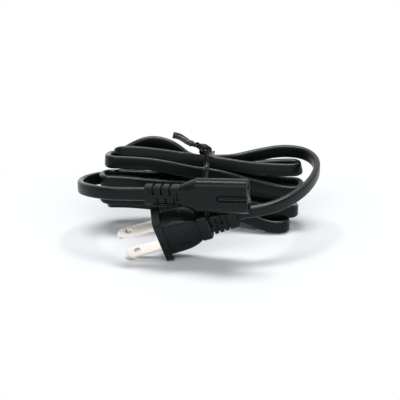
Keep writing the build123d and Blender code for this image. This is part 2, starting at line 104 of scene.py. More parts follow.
@dataclass(frozen=True)
class Wiring:
    """Short ways to add nodes to one tree and join them.

    Attributes:
        tree: Tree that is being built.
    """

    tree: bpy.types.NodeTree

    def add(
        self, kind: str, feeds: Mapping[str | int, Feed] | None = None, **options: str
    ) -> bpy.types.Node:
        """Add a node, choose its options and feed its inputs.

        Args:
            kind: Blender's name for the kind of node.
            feeds: Plain values or other nodes' outputs, by input name or number.
            **options: The node's own options.

        Returns:
            The new node.
        """
        node = self.tree.nodes.new(kind)
        for option, choice in options.items():
            setattr(node, option, choice)
        for key, value in (feeds or {}).items():
            if isinstance(value, bpy.types.NodeSocket):
                self.tree.links.new(value, node.inputs[key])
            else:
                node.inputs[key].default_value = value
        return node

    def math(self, operation: str, *values: Feed) -> bpy.types.NodeSocket:
        """Add a sum, product or other number operation.

        Args:
            operation: Name of the operation.
            *values: Its inputs in order.

        Returns:
            The socket that gives the result.
        """
        feeds = dict(enumerate(values))
        return self.add("ShaderNodeMath", feeds, operation=operation).outputs["Value"]

    def remap(
        self,
        value: bpy.types.NodeSocket,
        span: Pair = (0.0, 1.0),
        wanted: Pair = (0.0, 1.0),
        ease: str = "LINEAR",
    ) -> bpy.types.NodeSocket:
        """Carry a number from one range over to another.

        Args:
            value: Socket that gives the number.
            span: Range that it comes in.
            wanted: Range that it goes to.
            ease: Way in which it passes from end to end.

        Returns:
            The socket that gives the result.
        """
        feeds = {"Value": value}
        feeds |= {"From Min": span[0], "From Max": span[1]}
        feeds |= {"To Min": wanted[0], "To Max": wanted[1]}
        return self.add("ShaderNodeMapRange", feeds, interpolation_type=ease).outputs["Result"]

    def noise(
        self, place: bpy.types.NodeSocket, scale: float, detail: float
    ) -> bpy.types.NodeSocket:
        """Add a cloudy noise.

        Args:
            place: Socket that gives the coordinates.
            scale: Features per unit of the coordinates.
            detail: Number of finer layers.

        Returns:
            The socket that gives the noise.
        """
        feeds = {"Vector": place, "Scale": scale, "Detail": detail}
        return self.add("ShaderNodeTexNoise", feeds).outputs["Fac"]

    def tint(
        self, value: bpy.types.NodeSocket, span: Pair, colours: tuple[Triple, Triple]
    ) -> bpy.types.NodeSocket:
        """Blend from one colour to another.

        Args:
            value: Socket that gives the share.
            span: Shares at which the blend begins and ends.
            colours: First and last colour, linear.

        Returns:
            The socket that gives the colour.
        """
        ramp = self.add("ShaderNodeValToRGB", {"Fac": value})
        for element, place, colour in zip(ramp.color_ramp.elements, span, colours):
            element.position = place
            element.color = (*colour, 1.0)
        return ramp.outputs["Color"]

    def bump(
        self, height: bpy.types.NodeSocket, strength: float, distance: float
    ) -> bpy.types.NodeSocket:
        """Raise the surface by a pattern.

        Args:
            height: Socket that gives the pattern.
            strength: Strength of the bump.
            distance: Height of the bump in metres.

        Returns:
            The socket that gives the normal.
        """
        feeds = {"Height": height, "Strength": strength, "Distance": distance}
        return self.add("ShaderNodeBump", feeds).outputs["Normal"]


@dataclass(frozen=True)
class Finish:
    """Moulded, drawn or plated surface: fine bump, a little variation in colour and gloss.

    Attributes:
        name: Material name.
        colour: Base colour, linear.
        roughness: Middle roughness.
        roughness_spread: How far the roughness swings either side.
        metallic: 1 for bare or plated metal.
        grain_scale: Bump noise scale, in features per metre.
        grain_detail: Finer layers of the grain.
        grain_strength: Bump strength.
        grain_height: Bump height in metres.
        drift_ratio: How many times coarser than the grain the gloss varies.
        drift_detail: Finer layers of that variation.
        fleck: How much lighter the grain's peaks are than the base colour.
        fleck_lift: Grey added to the peaks for each unit of fleck.
        fleck_span: Grain heights at which the flecks begin and are full.
        specular: Specular level of the shader.
    """

    name: str
    colour: Triple
    roughness: float
    roughness_spread: float = 0.06
    metallic: float = 0.0
    grain_scale: float = 3000.0
    grain_detail: float = 3.0
    grain_strength: float = 0.2
    grain_height: float = 0.00003
    drift_ratio: float = 24.0
    drift_detail: float = 2.0
    fleck: float = 0.0
    fleck_lift: float = 0.01
    fleck_span: Pair = (0.35, 0.75)
    specular: float = 0.5

    def peak_colour(self) -> Triple:
        """Return the colour of the grain's peaks."""
        lift = self.fleck_lift * self.fleck
        return tuple(min(1.0, value * (1 + self.fleck) + lift) for value in self.colour)

    def material(self) -> bpy.types.Material:
        """Build the material's nodes on Object coordinates.

        Returns:
            The finished material.
        """
        material = new_material(self.name)
        wiring = Wiring(material.node_tree)
        shader = material.node_tree.nodes["Principled BSDF"].inputs
        shader["Metallic"].default_value = self.metallic
        shader["Specular IOR Level"].default_value = self.specular
        place = wiring.add("ShaderNodeTexCoord").outputs["Object"]
        grain = wiring.noise(place, self.grain_scale, self.grain_detail)
        drift = wiring.noise(place, self.grain_scale / self.drift_ratio, self.drift_detail)
        swing = (self.roughness - self.roughness_spread, self.roughness + self.roughness_spread)
        colours = (self.colour, self.peak_colour())
        links = material.node_tree.links
        links.new(wiring.remap(drift, wanted=swing), shader["Roughness"])
        links.new(wiring.tint(grain, self.fleck_span, colours), shader["Base Color"])
        links.new(wiring.bump(grain, self.grain_strength, self.grain_height), shader["Normal"])
        return material


@dataclass(frozen=True)
class CordFinish:
    """Drawn PVC of the flat cord: faint streaks along it, narrow sides rubbed glossy.

    Attributes:
        name: Material name.
        colour: Base colour, linear.
        roughness: Middle roughness of the broad sides.
        specular: Specular level of the broad sides.
        polish: Weight of the gloss on the narrow sides.
        polish_roughness: Roughness of that gloss.
        polish_ior: Refractive index of that gloss.
        polish_span: How squarely a side faces up or down where the gloss begins and is full.
        roughness_spread: How far the roughness swings either side.
        streaks_along: Streak features per metre of cord.
        streaks_round: Streak features round the section.
        streak_detail: Finer layers of the streaks.
        streak_light: How many times lighter the palest streaks are.
        streak_span: Streak values at which the paler colour begins and is full.
        streak_strength: Strength of the streaks' bump.
        streak_height: Height of the streaks' bump in metres.
        half_step: Half an edge of the section, as an angle round it.
    """

    name: str
    colour: Triple
    roughness: float
    specular: float
    polish: float
    polish_roughness: float
    polish_ior: float = 1.5
    polish_span: Pair = (0.45, 0.85)
    roughness_spread: float = 0.1
    streaks_along: float = 45.0
    streaks_round: float = 14.0
    streak_detail: float = 4.0
    streak_light: float = 1.7
    streak_span: Pair = (0.3, 0.8)
    streak_strength: float = 0.06
    streak_height: float = 0.00004
    half_step: float = math.tau / 48

    def polished(self, wiring: Wiring, place: bpy.types.NodeSocket) -> bpy.types.NodeSocket:
        """Find the narrow sides of the cord.

        Args:
            wiring: Tree that is being built.
            place: Socket that gives the cord's UV.

        Returns:
            The socket that gives the weight of the gloss.
        """
        split = wiring.add("ShaderNodeSeparateXYZ", {"Vector": place})
        turn = wiring.math("MULTIPLY_ADD", split.outputs["Y"], math.tau, self.half_step)
        narrow = wiring.math("ABSOLUTE", wiring.math("COSINE", turn))
        return wiring.remap(narrow, self.polish_span, (0.0, self.polish), "SMOOTHSTEP")

    def material(self) -> bpy.types.Material:
        """Build the material's nodes on the cord's own UV map.

        Returns:
            The finished material.
        """
        material = new_material(self.name)
        wiring = Wiring(material.node_tree)
        shader = material.node_tree.nodes["Principled BSDF"].inputs
        shader["Specular IOR Level"].default_value = self.specular
        shader["Coat Roughness"].default_value = self.polish_roughness
        shader["Coat IOR"].default_value = self.polish_ior
        place = wiring.add("ShaderNodeUVMap", uv_map=CORD_UV).outputs["UV"]
        scale = (self.streaks_along, self.streaks_round, 1.0)
        stretch = wiring.add("ShaderNodeMapping", {"Vector": place, "Scale": scale})
        streak = wiring.noise(stretch.outputs["Vector"], 1.0, self.streak_detail)
        swing = (self.roughness - self.roughness_spread, self.roughness + self.roughness_spread)
        colours = (self.colour, tuple(value * self.streak_light for value in self.colour))
        links = material.node_tree.links
        links.new(wiring.remap(streak, wanted=swing), shader["Roughness"])
        links.new(wiring.tint(streak, self.streak_span, colours), shader["Base Color"])
        links.new(wiring.bump(streak, self.streak_strength, self.streak_height), shader["Normal"])
        links.new(self.polished(wiring, place), shader["Coat Weight"])
        return material


def new_piece(
    name: str, mesh: bpy.types.Mesh, material: bpy.types.Material
) -> bpy.types.Object:
    """Link a mesh as a piece that rides on the part and takes a finish.

    Args:
        name: Piece name.
        mesh: Mesh with its place in its vertices.
        material: Material for the whole piece.

    Returns:
        The new object, at the origin.
    """
    piece = bpy.data.objects.new(name, mesh)
    bpy.context.collection.objects.link(piece)
    mesh.materials.clear()
    mesh.materials.append(material)
    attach(piece, BODY)
    return piece


def plain_mesh(carrier: bpy.types.Object) -> bpy.types.Mesh:
    """Return what an object looks like after its spline or modifier as a mesh of its own."""
    graph = bpy.context.evaluated_depsgraph_get()
    return bpy.data.meshes.new_from_object(carrier.evaluated_get(graph))


@dataclass(frozen=True)
class Lying:
    """Place of a moulded end: its origin, its axis and its wide direction.

    Attributes:
        origin: Point in millimetres.
        axis: Unit vector along the piece.
        wide: Unit vector up the piece's broad face.
    """

    origin: Triple
    axis: Triple
    wide: Triple

    def at(self, wide: float, thick: float, along: float) -> Vector:
        """Return a point of the piece's own frame, given in millimetres, in metres.

        Args:
            wide: Distance up the broad face.
            thick: Distance out of the broad face.
            along: Distance along the axis.

        Returns:
            The point in the part's frame.
        """
        axis, up = Vector(self.axis), Vector(self.wide)
        return metres(Vector(self.origin) + up * wide + axis.cross(up) * thick + axis * along)


PLUG = Lying(
    origin=(-18.11, -19.69, 12.37),
    axis=(0.958783, 0.008367, 0.284015),
    wide=(-0.26444, -0.339416, 0.902701),
)
CONNECTOR = Lying(
    origin=(-23.51, -16.94, 31.06),
    axis=(0.971815, -0.224361, 0.072368),
    wide=(-0.066576, 0.033282, 0.997226),
)


@dataclass(frozen=True)
class Pass:
    """One pass of the cord through the tie.

    Attributes:
        tie: Y and Z at the tie.
        left: Y and Z by which the left shoulder leaves the straight line.
        right: Y and Z by which the right shoulder leaves the straight line.
        fall: Drop in Z from left to right through the tie.
        roll: Lean of the flat section, in degrees.
    """

    tie: Pair
    left: Pair = (0.0, 0.0)
    right: Pair = (0.0, 0.0)
    fall: float = 0.0
    roll: float = 0.0


@dataclass(frozen=True)
class Turn:
    """One end of the hank, where the cord turns back.

    Attributes:
        reach: X of the turn's end.
        front: Y and Z of the strand nearer the plug.
        back: Y and Z of the strand further back.
    """

    reach: float
    front: Pair
    back: Pair

    def strand(self, heading: Side) -> Pair:
        """Return Y and Z of the strand that runs to one side."""
        return self.back if heading is Side.LEFT else self.front


@dataclass(frozen=True)
class CordRoute:
    """Route of the whole cord: plug, turns of the hank, connector.

    Points are in millimetres from the hank's middle, and leans of the section in degrees.

    Attributes:
        middle: The hank's middle on the floor, in the part's frame.
        tie_x: X of the tie.
        pinch: Distance from the tie at which it begins to draw the strands in.
        corner: Distance from a turn's end to its corner.
        samples_per_span: Points read back for each span of the spline.
        plug_ends: Places of the cord's first points along the plug's axis.
        plug_rolls: Leans at the first points; the rest of the plug's lead stands upright.
        plug_lead: Points from the plug to the tie.
        hump: Points of the raised strand that the first pass makes on the left.
        passes: Passes through the tie, in the order in which the cord runs.
        turns: Turns between the passes.
        connector_lead: Points from the tie to the connector.
        connector_ends: Places of the cord's last points along the connector's axis.
        connector_roll: Lean at the last points.
    """

    middle: Triple = (-0.01, 22.06, 0.0)
    tie_x: float = 2.5
    pinch: float = 7.0
    corner: float = 9.0
    samples_per_span: int = 12
    plug_ends: Pair = (28.0, 37.2)
    plug_rolls: tuple[float, ...] = (-19.7, -19.7, -15.0, -8.0, -2.0)
    plug_lead: tuple[Triple, ...] = (
        (24.0, -41.0, 23.5),
        (33.5, -38.5, 24.5),
        (43.5, -31.0, 26.4),
        (51.3, -19.5, 28.8),
        (55.0, -6.0, 31.2),
        (50.0, 4.9, 32.6),
        (39.0, 8.3, 32.6),
        (27.5, 6.9, 31.0),
        (16.0, 3.6, 29.4),
    )
    hump: tuple[Triple, ...] = ((-12.5, 2.2, 37.2), (-22.0, 3.6, 39.2), (-30.2, 2.4, 36.6))
    passes: tuple[Pass, ...] = (
        Pass((0.0, 30.6), left=(0.0, 1.9)),
        Pass((-3.7, 31.8), left=(0.0, 0.4), right=(-0.4, -0.6), fall=2.0, roll=16.0),
        Pass((-2.7, 25.3), left=(-0.4, 0.8), right=(0.1, 1.0)),
        Pass((-6.7, 27.1), left=(-0.3, 1.2), right=(0.0, -0.4), fall=2.0, roll=10.0),
        Pass((1.1, 21.3), left=(0.6, -0.5), right=(0.3, 2.2)),
        Pass((-6.9, 20.4), left=(0.0, -0.8), right=(2.0, 0.0), fall=1.0),
        Pass((-3.5, 18.6), left=(-0.1, -0.3)),
        Pass((-7.0, 13.6), left=(-1.5, 0.0), right=(0.4, 0.5)),
        Pass((-3.6, 12.5)),
        Pass((-7.2, 7.4), left=(1.4, 0.9), right=(-0.4, 2.4)),
        Pass((-0.3, 4.0)),
    )
    turns: tuple[Turn, ...] = (
        Turn(-38.0, (-4.0, 36.5), (1.4, 31.4)),
        Turn(46.2, (-4.0, 27.7), (2.3, 27.7)),
        Turn(-42.4, (-7.5, 33.1), (5.2, 30.6)),
        Turn(47.4, (-7.5, 17.9), (1.2, 18.9)),
        Turn(-44.8, (-11.5, 25.0), (-1.6, 23.9)),
        Turn(38.9, (-3.6, 13.5), (4.2, 13.3)),
        Turn(-44.9, (-10.5, 16.4), (-1.3, 17.2)),
        Turn(44.8, (-9.0, 8.7), (0.1, 7.5)),
        Turn(-41.7, (-6.6, 13.0), (1.4, 9.9)),
        Turn(40.5, (-13.6, 3.2), (-5.9, 3.1)),
    )
    connector_lead: tuple[Triple, ...] = (
        (-8.0, 1.4, 3.05),
        (-15.0, 4.4, 10.5),
        (-22.0, 4.9, 19.0),
        (-30.0, 4.6, 22.8),
        (-38.5, 3.2, 21.9),
        (-47.6, -1.0, 22.3),
        (-53.7, -9.5, 24.0),
        (-54.3, -20.5, 26.1),
        (-48.8, -30.0, 28.6),
        (-40.5, -35.2, 29.6),
        (-31.5, -37.2, 30.3),
    )
    connector_ends: Pair = (-1.2, 8.0)
    connector_roll: float = 1.0

    def placed(self, points: Sequence[Triple]) -> list[Vector]:
        """Return points of the hank in the part's frame, in metres."""
        return [metres(Vector(self.middle) + Vector(point)) for point in points]

    def shoulder(self, corner: Triple, pinch: Triple, lift: Pair) -> Triple:
        """Return the point between a turn's corner and the tie, lifted off the straight line.

        Args:
            corner: Where the turn begins.
            pinch: Where the tie begins to draw the strand in.
            lift: Y and Z added to the middle point.

        Returns:
            The shoulder point.
        """
        middle = (Vector(corner) + Vector(pinch)) / 2
        return (middle.x, middle.y + lift[0], middle.z + lift[1])

    def pass_points(self, index: int) -> list[Triple]:
        """Return one pass's points between its two turns, in the order in which the cord runs.

        Args:
            index: Number of the pass; even ones run to the left along the back, odd ones to
                the right along the front.

        Returns:
            Corner, shoulder and pinch points.
        """
        way = self.passes[index]
        heading = Side.LEFT if index % 2 == 0 else Side.RIGHT
        behind = Side(-heading.value)
        lifts = {Side.LEFT: way.left, Side.RIGHT: way.right}
        across, rise = way.tie
        drop = heading.value * way.fall / 2
        enter = (self.tie_x - heading.value * self.pinch, across, rise + drop)
        leave = (self.tie_x + heading.value * self.pinch, across, rise - drop)
        points: list[Triple] = []
        if index > 0:
            turn = self.turns[index - 1]
            strand = turn.strand(heading)
            corner = (turn.reach + heading.value * self.corner, *strand)
            points += [(turn.reach, *strand), corner, self.shoulder(corner, enter, lifts[behind])]
        points.append(enter)
        if index < len(self.turns):
            turn = self.turns[index]
            strand = turn.strand(heading)
            corner = (turn.reach - heading.value * self.corner, *strand)
            between = [self.shoulder(leave, corner, lifts[heading]), corner]
            points += [leave, *(self.hump if index == 0 else between), (turn.reach, *strand)]
        return points

    def control_points(self) -> tuple[list[Vector], list[float]]:
        """String the plug's end, the leads, the passes and the connector's end together.

        Returns:
            The spline's control points in metres, and the section's lean at each.
        """
        points = [PLUG.at(0, 0, along) for along in self.plug_ends]
        points += self.placed(self.plug_lead)
        rolls = [*self.plug_rolls]
        rolls += [0.0] * (len(points) - len(rolls))
        for index, way in enumerate(self.passes):
            turn_points = self.placed(self.pass_points(index))
            points += turn_points
            rolls += [way.roll] * len(turn_points)
        points += self.placed(self.connector_lead)
        rolls += [0.0] * len(self.connector_lead)
        points += [CONNECTOR.at(0, 0, along) for along in self.connector_ends]
        rolls += [self.connector_roll] * len(self.connector_ends)
        return points, rolls

    def line(self) -> tuple[list[Vector], list[float]]:
        """Lay the NURBS spline through the control points and read its points back.

        Returns:
            The points along the cord in metres, and the section's lean at each.
        """
        controls, rolls = self.control_points()
        curve = bpy.data.curves.new("cord_route", "CURVE")
        curve.dimensions = "3D"
        curve.resolution_u = self.samples_per_span
        spline = curve.splines.new("NURBS")
        spline.points.add(len(controls) - 1)
        for point, control in zip(spline.points, controls):
            point.co = (*control, 1.0)
        spline.order_u = 3
        spline.use_endpoint_u = True
        carrier = bpy.data.objects.new("cord_route", curve)
        bpy.context.collection.objects.link(carrier)
        mesh = plain_mesh(carrier)
        points = [vertex.co.copy() for vertex in mesh.vertices]
        bpy.data.meshes.remove(mesh)
        bpy.data.objects.remove(carrier)
        leans = []
        for index in range(len(points)):
            place = index / (len(points) - 1) * (len(controls) - 1)
            first = min(int(place), len(controls) - 2)
            share = place - first
            leans.append(rolls[first] * (1 - share) + rolls[first + 1] * share)
        return points, leans


@dataclass(frozen=True)
class FlatCord:
    """Flat two-core cord: a rounded section drawn along the route, its broad sides upright.

    Attributes:
        finish: Finish of the cord.
        width: Width of the section in millimetres.
        thickness: Thickness of the section in millimetres.
        corner: Radius of the section's corners in millimetres.
        corner_steps: Edges in each corner.
        length: Real length of the cord in metres. Not used.
    """

    finish: CordFinish
    width: float = 6.0
    thickness: float = 2.8
    corner: float = 1.2
    corner_steps: int = 5
    length: float = 1.2

    def section(self) -> list[Pair]:
        """Round the section's corners.

        Returns:
            The section as offsets up the wide side and out of it, in millimetres.
        """
        across = self.width / 2 - self.corner
        through = self.thickness / 2 - self.corner
        points: list[Pair] = []
        for wide, thick, start in ((1, 1, 0), (-1, 1, 90), (-1, -1, 180), (1, -1, 270)):
            for step in range(self.corner_steps + 1):
                angle = math.radians(start + 90 * step / self.corner_steps)
                points.append((
                    wide * across + self.corner * math.cos(angle),
                    thick * through + self.corner * math.sin(angle),
                ))
        return points

    def rings(self, points: list[Vector], leans: list[float]) -> list[Vector]:
        """Set the section square to a line at each of its points.

        Args:
            points: Points along the cord in metres.
            leans: Lean of the section at each point, in degrees.

        Returns:
            The corners of all sections, one section after another.
        """
        section = self.section()
        corners: list[Vector] = []
        for index, point in enumerate(points):
            ahead = points[min(index + 1, len(points) - 1)]
            behind = points[max(index - 1, 0)]
            along = (ahead - behind).normalized()
            side = UP.cross(along).normalized()
            up = along.cross(side)
            lean = math.radians(leans[index])
            wide = up * math.cos(lean) + side * math.sin(lean)
            thick = along.cross(wide)
            corners += [point + wide * a * MM + thick * b * MM for a, b in section]
        return corners

    def mesh(self, points: list[Vector], leans: list[float]) -> bpy.types.Mesh:
        """Draw the section along a line of points.

        Args:
            points: Points along the cord in metres.
            leans: Lean of the section at each point, in degrees.

        Returns:
            A closed tube whose UV runs along the cord in metres and once round it.
        """
        corners = self.rings(points, leans)
        count = len(corners) // len(points)
        run = [0.0]
        for before, after in zip(points, points[1:]):
            run.append(run[-1] + (after - before).length)
        faces: list[tuple[int, ...]] = []
        coordinates: list[Pair] = []
        for ring in range(len(points) - 1):
            here, there = ring * count, (ring + 1) * count
            start, end = run[ring], run[ring + 1]
            for step in range(count):
                following = (step + 1) % count
                faces.append((here + step, here + following, there + following, there + step))
                low, high = step / count, (step + 1) / count
                coordinates += [(start, low), (start, high), (end, high), (end, low)]
        first = tuple(reversed(range(count)))
        last = tuple((len(points) - 1) * count + step for step in range(count))
        for cap in (first, last):
            faces.append(cap)
            coordinates += [(0.0, step / count) for step in range(count)]
        mesh = bpy.data.meshes.new("cord")
        mesh.from_pydata(corners, [], faces)
        layer = mesh.uv_layers.new(name=CORD_UV)
        for loop, coordinate in zip(layer.data, coordinates):
            loop.uv = coordinate
        mesh.shade_smooth()
        mesh.update()
        return mesh

    def build(self, route: CordRoute, on_plug: list[bpy.types.Object]) -> bpy.types.Object:
        """Args:
            route: Route of the cord.
            on_plug: Pieces of the plug at its far end. Not used.

        Returns:
            The cord's object.
        """
        points, leans = route.line()
        mesh = self.mesh(points, leans)
        piece = new_piece("flat_cord", mesh, self.finish.material())
        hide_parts("cord_plug_lead", "cord_hank", "cord_connector_lead")
        return piece


@dataclass(frozen=True)
class TwistTie:
    """Plastic-covered wire ribbon: a band round the hank, twisted ends and two tails.

    Sizes are in millimetres. Each station is a place from the hank's middle and the way the
    ribbon's face points there.

    Attributes:
        finish: Finish of the ribbon.
        middle: The hank's middle on the floor, in the part's frame.
        width: Width of the ribbon.
        thickness: Thickness of the ribbon beside its wire.
        ridge: Height of the ridge over the wire, on each face.
        ridge_share: Share of the ribbon's width that the ridge takes up.
        ring_points: Points round the ribbon's section.
        step: Distance between sections along the ribbon.
        twist_left: Left end of the twist's middle line.
        twist_right: Right end of the twist's middle line.
        twist_turns: Turns in the twist.
        twist_radius: Distance of the windings from the middle line.
        twist_steps: Steps from station to station along the twist.
        twist_phase: Angle of the first winding at its left end, in degrees.
        second_start: Share of the twist's length at which the second winding begins.
        long_tail: Stations of the long tail, from its tip.
        band: Stations of the band, down the front, under the hank and up its back.
        short_tail: Stations of the short tail, to its tip.
    """

    finish: Finish
    middle: Triple
    width: float = 3.0
    thickness: float = 0.36
    ridge: float = 0.3
    ridge_share: float = 0.42
    ring_points: int = 28
    step: float = 0.2
    twist_left: Triple = (-4.0, -3.3, 40.6)
    twist_right: Triple = (3.5, -3.5, 38.7)
    twist_turns: float = 1.25
    twist_radius: float = 0.75
    twist_steps: int = 12
    twist_phase: float = 55.0
    second_start: float = 0.5
    long_tail: tuple[Station, ...] = (
        ((-12.2, 0.3, 43.4), (0.1, -0.9, 0.4)),
        ((-9.3, -0.4, 42.9), (0.15, -0.9, 0.5)),
        ((-6.9, -1.6, 41.85), (0.2, -0.8, 0.6)),
        ((-5.2, -2.6, 41.0), (0.2, -0.75, 0.65)),
    )
    band: tuple[Station, ...] = (
        ((4.3, -4.3, 38.0), (0.3, -0.8, 0.5)),
        ((3.9, -5.0, 36.6), (-0.3, -0.95, 0.1)),
        ((3.35, -5.3, 35.2), (-0.75, -0.65, 0.1)),
        ((3.2, -5.5, 33.4), (-0.8, -0.6, 0.1)),
        ((3.2, -6.3, 31.7), (-0.35, -0.85, 0.4)),
        ((3.0, -8.3, 30.3), (0.0, -0.75, 0.65)),
        ((2.7, -8.75, 28.6), (0.1, -1.0, 0.05)),
        ((2.5, -8.8, 26.5), (0.1, -1.0, 0.0)),
        ((2.5, -8.9, 20.5), (0.0, -1.0, 0.0)),
        ((2.5, -8.95, 13.6), (0.0, -1.0, 0.0)),
        ((2.5, -9.15, 7.6), (0.0, -1.0, 0.0)),
        ((2.5, -8.6, 4.4), (0.0, -0.85, -0.5)),
        ((2.5, -6.0, 2.6), (0.0, -0.5, -0.86)),
        ((2.5, -1.2, 0.66), (0.0, -0.2, -1.0)),
        ((2.5, 1.2, 1.6), (0.0, 0.8, -0.6)),
        ((2.5, 1.75, 6.0), (0.0, 1.0, 0.0)),
        ((2.5, 1.9, 14.0), (0.0, 1.0, 0.0)),
        ((2.5, 1.9, 22.0), (0.0, 1.0, 0.0)),
        ((2.3, 1.95, 29.5), (0.0, 1.0, 0.0)),
        ((1.7, 1.6, 33.6), (-0.2, 0.85, 0.5)),
        ((0.9, 0.2, 35.6), (-0.6, 0.5, 0.6)),
        ((0.2, -1.4, 36.8), (-0.95, 0.1, 0.3)),
        ((-0.1, -2.4, 37.9), (-0.9, -0.3, 0.1)),
    )
    short_tail: tuple[Station, ...] = (
        ((4.7, -3.3, 38.0), (0.7, 0.2, 0.7)),
        ((5.0, -3.5, 36.9), (0.85, 0.1, 0.4)),
        ((5.6, -3.7, 36.2), (0.3, -0.2, 0.95)),
        ((7.0, -3.9, 36.2), (0.0, -0.35, 0.95)),
    )

    def twisted(self, start: float, phase: float) -> list[Station]:
        """Wind one of the two ends round the twist's middle line, to its right end.

        Args:
            start: Share of the twist's length at which the winding begins.
            phase: Angle of the winding at the twist's left end, in degrees.

        Returns:
            The stations of the winding, from left to right.
        """
        left, right = Vector(self.twist_left), Vector(self.twist_right)
        along = (right - left).normalized()
        up = (UP - along * along.z).normalized()
        across = along.cross(up)
        stations: list[Station] = []
        for step in range(self.twist_steps + 1):
            share = step / self.twist_steps
            if share < start:
                continue
            angle = math.radians(phase + 360 * self.twist_turns * share)
            out = up * math.cos(angle) + across * math.sin(angle)
            place = left.lerp(right, share) + out * self.twist_radius
            stations.append((tuple(place), tuple(out)))
        return stations

    def path(self) -> bpy.types.Mesh:
        """Lay the ribbon's middle line from the long tail's tip to the short tail's.

        Returns:
            A chain of edges that keeps the ribbon's facing at each point.
        """
        first = self.twisted(0.0, self.twist_phase)
        second = self.twisted(self.second_start, self.twist_phase + 180)
        stations = [*self.long_tail, *first, *self.band, *second, *self.short_tail]
        mesh = bpy.data.meshes.new("tie_path")
        places = [metres(Vector(self.middle) + Vector(place)) for place, _ in stations]
        mesh.from_pydata(places, [(index, index + 1) for index in range(len(places) - 1)], [])
        facing = mesh.attributes.new(TIE_FACING, "FLOAT_VECTOR", "POINT")
        for value, (_, way) in zip(facing.data, stations):
            value.vector = Vector(way).normalized()
        return mesh

    def facing(self, wiring: Wiring) -> bpy.types.NodeSocket:
        """Read the ribbon's facing and turn it square to the path.

        Args:
            wiring: Tree that is being built.

        Returns:
            The socket that gives the unit vector out of the ribbon's face.
        """
        kind = "ShaderNodeVectorMath"
        read = wiring.add(
            "GeometryNodeInputNamedAttribute", {"Name": TIE_FACING}, data_type="FLOAT_VECTOR"
        ).outputs["Attribute"]
        tangent = wiring.add("GeometryNodeInputTangent").outputs["Tangent"]
        part = wiring.add(kind, {0: read, 1: tangent}, operation="PROJECT").outputs["Vector"]
        square = wiring.add(kind, {0: read, 1: part}, operation="SUBTRACT").outputs["Vector"]
        return wiring.add(kind, {0: square}, operation="NORMALIZE").outputs["Vector"]

    def section(
        self, wiring: Wiring, given: Mapping[str, bpy.types.NodeSocket]
    ) -> bpy.types.NodeSocket:
        """Draw the ribbon's section: a flat lens with a ridge over the wire.

        Args:
            wiring: Tree that is being built.
            given: The tree's inputs, with Width, Thickness and Ridge.

        Returns:
            The socket that gives the section as a curve.
        """
        ring = wiring.add(
            "GeometryNodeCurvePrimitiveCircle", {"Resolution": self.ring_points, "Radius": 1.0}
        )
        where = wiring.add("GeometryNodeInputPosition").outputs["Position"]
        split = wiring.add("ShaderNodeSeparateXYZ", {"Vector": where}).outputs
        off = wiring.math("ABSOLUTE", split["X"])
        crest = wiring.remap(off, (0.0, self.ridge_share), (1.0, 0.0), "SMOOTHSTEP")
        raised = wiring.math("MULTIPLY", crest, given["Ridge"])
        half = wiring.math("MULTIPLY_ADD", given["Thickness"], 0.5, raised)
        high = wiring.math("MULTIPLY", split["Y"], half)
        wide = wiring.math("MULTIPLY", wiring.math("MULTIPLY", split["X"], given["Width"]), 0.5)
        joined = wiring.add("ShaderNodeCombineXYZ", {"X": high, "Y": wide}).outputs["Vector"]
        shaped = wiring.add(
            "GeometryNodeSetPosition", {"Geometry": ring.outputs["Curve"], "Position": joined}
        )
        return shaped.outputs["Geometry"]

    def tree(self) -> bpy.types.GeometryNodeTree:
        """Build the node tree that draws a ribbon with a wire ridge along a path.

        Returns:
            A tree with named inputs for the ribbon's sizes and its material.
        """
        tree = bpy.data.node_groups.new("ribbon_along_path", "GeometryNodeTree")
        face = tree.interface
        face.new_socket("Geometry", in_out="INPUT", socket_type="NodeSocketGeometry")
        for name in ("Width", "Thickness", "Ridge", "Step"):
            face.new_socket(name, in_out="INPUT", socket_type="NodeSocketFloat")
        face.new_socket("Material", in_out="INPUT", socket_type="NodeSocketMaterial")
        face.new_socket("Geometry", in_out="OUTPUT", socket_type="NodeSocketGeometry")
        wiring = Wiring(tree)
        given = wiring.add("NodeGroupInput").outputs
        line = wiring.add("GeometryNodeMeshToCurve", {"Mesh": given["Geometry"]})
        smooth = wiring.add(
            "GeometryNodeCurveSplineType",
            {"Curve": line.outputs["Curve"]},
            spline_type="CATMULL_ROM",
        )
        even = wiring.add(
            "GeometryNodeResampleCurve",
            {"Curve": smooth.outputs["Curve"], "Length": given["Step"]},
            mode="LENGTH",
        )
        faced = wiring.add(
            "GeometryNodeSetCurveNormal",
            {"Curve": even.outputs["Curve"], "Normal": self.facing(wiring)},
            mode="FREE",
        )
        drawn = wiring.add("GeometryNodeCurveToMesh", {
            "Curve": faced.outputs["Curve"],
            "Profile Curve": self.section(wiring, given),
            "Fill Caps": True,
        })
        shaded = wiring.add("GeometryNodeSetShadeSmooth", {"Geometry": drawn.outputs["Mesh"]})
        real = wiring.add(
            "GeometryNodeRealizeInstances", {"Geometry": shaded.outputs["Geometry"]}
        )
        dressed = wiring.add(
            "GeometryNodeSetMaterial",
            {"Geometry": real.outputs["Geometry"], "Material": given["Material"]},
        )
        wiring.add("NodeGroupOutput", {"Geometry": dressed.outputs["Geometry"]})
        return tree

